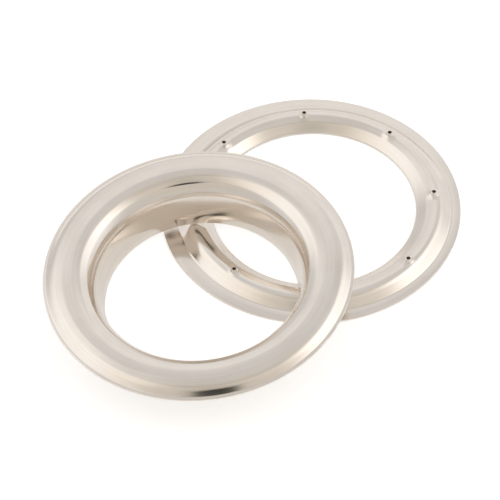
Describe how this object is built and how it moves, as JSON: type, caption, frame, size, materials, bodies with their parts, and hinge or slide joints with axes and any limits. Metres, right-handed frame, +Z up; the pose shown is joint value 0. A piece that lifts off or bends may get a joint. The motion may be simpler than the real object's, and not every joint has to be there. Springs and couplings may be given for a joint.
{
  "type": "grommet eyelet",
  "caption": "Two-piece sheet-metal grommet: a flared eyelet with a domed flange resting across a beaded washer with pierced teeth.",
  "frame": {"origin": "centre of the washer's hole, on the surface that the washer lies on", "axes": "+Z up, out of the surface; +Y away from the picture's viewer, +X to the picture's right"},
  "size_m": [0.0873, 0.09, 0.0145],
  "materials": {
    "nickel_plate": "satin nickel plate"
  },
  "bodies": {
    "root": {"eyelet": "nickel_plate", "toothed_washer": "nickel_plate"}
  },
  "joints": []
}
